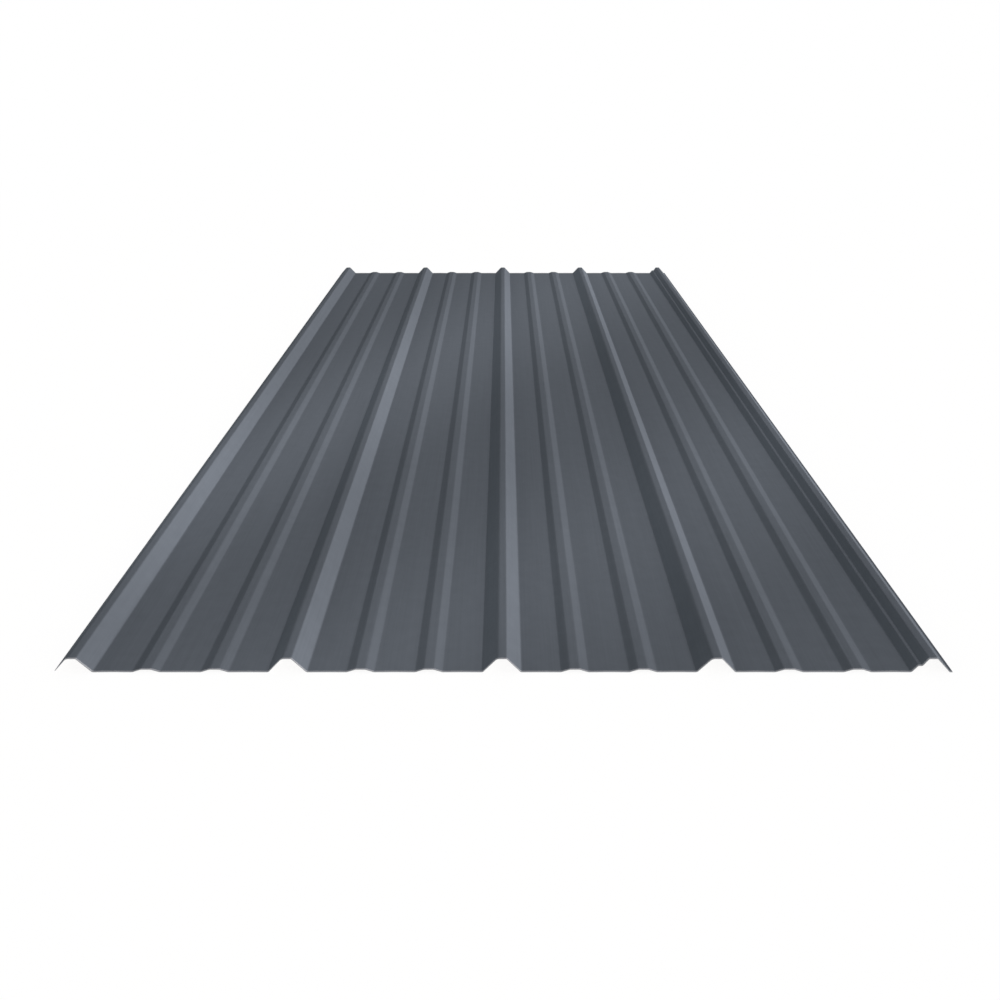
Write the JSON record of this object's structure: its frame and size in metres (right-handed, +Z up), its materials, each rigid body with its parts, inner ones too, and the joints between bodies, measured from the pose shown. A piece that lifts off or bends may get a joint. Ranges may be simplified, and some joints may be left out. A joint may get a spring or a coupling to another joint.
{
  "type": "ribbed metal roofing sheet",
  "caption": "Long flat-lying sheet of thin painted steel with tall trapezoidal ribs along its length, low ribs in the pans between them and side edges that lap.",
  "frame": {"origin": "middle of the sheet's footprint, level with the underside of its pans", "axes": "+Y along the ribs, +X across the sheet towards the underlap edge, +Z up from the pans towards the crowns of the ribs"},
  "size_m": [0.957, 2.1336, 0.017],
  "materials": {
    "painted_steel": "satin slate-grey coil coating over galvanised steel"
  },
  "bodies": {
    "root": {"ribbed_sheet": "painted_steel"}
  },
  "joints": []
}
